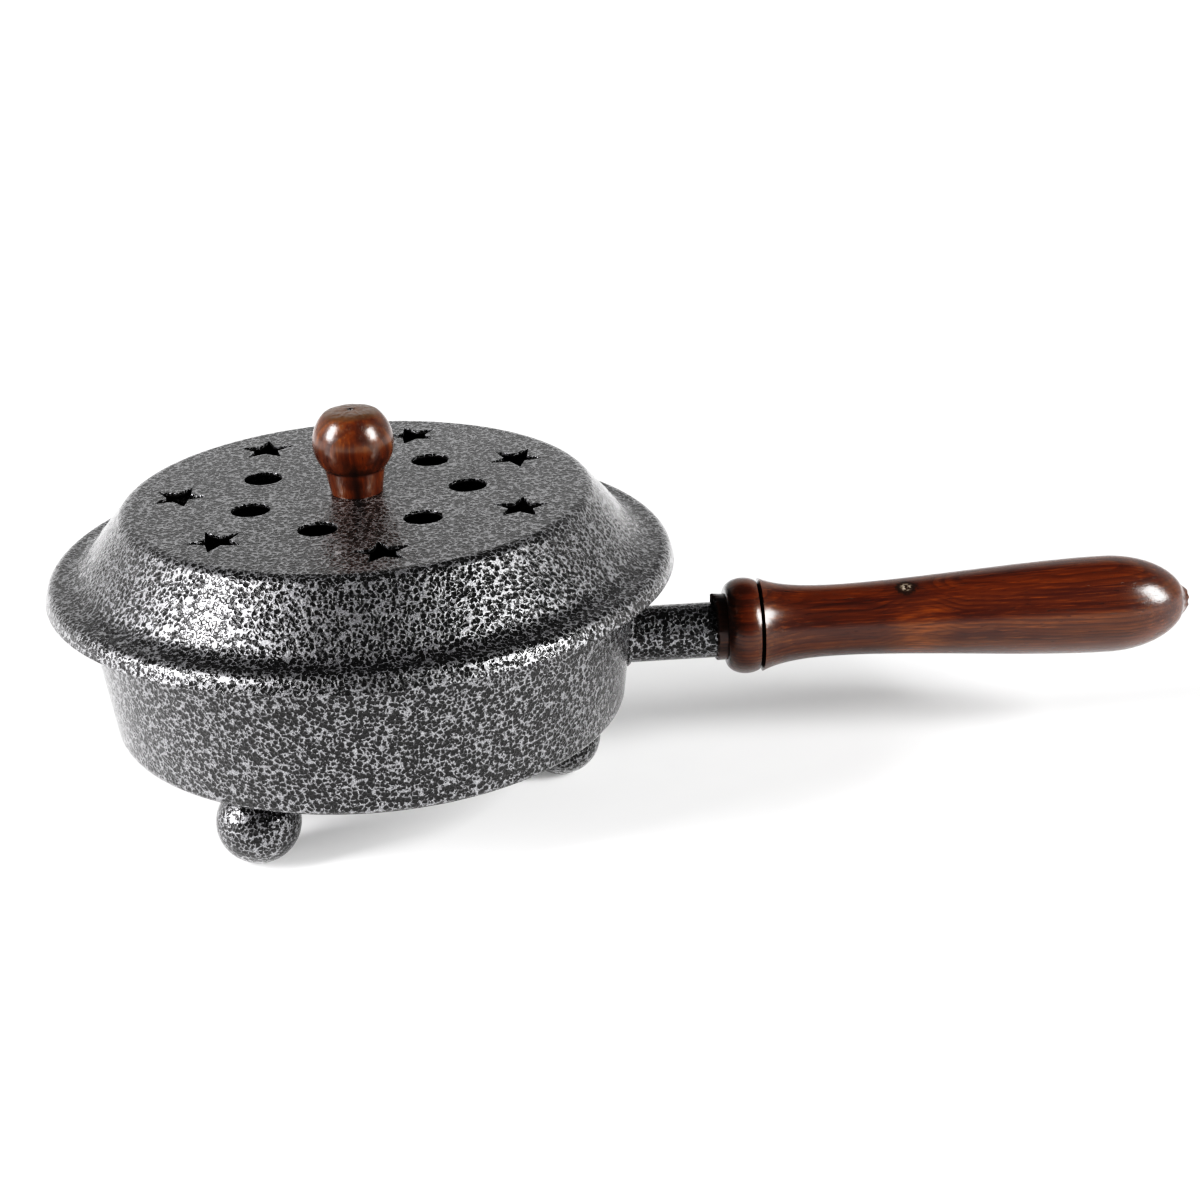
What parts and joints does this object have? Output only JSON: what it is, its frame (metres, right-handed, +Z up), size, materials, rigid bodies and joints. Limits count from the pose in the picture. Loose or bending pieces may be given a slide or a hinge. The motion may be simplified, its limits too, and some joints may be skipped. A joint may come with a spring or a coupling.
{
  "type": "charcoal incense pan",
  "caption": "Small round lidded steel pan on ball feet, with a perforated lift-off lid, a turned wooden knob and a turned wooden side handle, for burning incense on charcoal.",
  "frame": {"origin": "on the pan's axis, at the height of the surface that the three ball feet stand on", "axes": "+Z up along the pan's axis, +X along the handle, away from the pan"},
  "size_m": [0.297, 0.1598, 0.1007],
  "materials": {
    "hammertone_lacquer": "silver and black hammertone lacquer, glossy",
    "handle_wood": "red-brown stained, glossy varnish, lengthwise grain with one knot",
    "knob_wood": "red-brown stained, glossy varnish, upright grain",
    "zinc_steel": "bright zinc plated"
  },
  "bodies": {
    "pan": {"pan_body": "hammertone_lacquer", "handle_socket": "hammertone_lacquer", "socket_weld": "hammertone_lacquer", "handle_grip": "handle_wood", "grip_screw": "zinc_steel", "foot_ball_1": "hammertone_lacquer", "foot_ball_2": "hammertone_lacquer", "foot_ball_3": "hammertone_lacquer", "foot_washer_1": "zinc_steel", "foot_washer_2": "zinc_steel", "foot_washer_3": "zinc_steel", "foot_screw_1": "zinc_steel", "foot_screw_2": "zinc_steel", "foot_screw_3": "zinc_steel"},
    "lid": {"lid_shell": "hammertone_lacquer", "lid_knob": "knob_wood", "knob_washer": "zinc_steel", "knob_screw": "zinc_steel"}
  },
  "joints": [
    {"name": "lid_lift", "type": "slide", "parent": "pan", "child": "lid", "axis": [0, 0, 1], "range_m": [0, 0.06]}
  ]
}
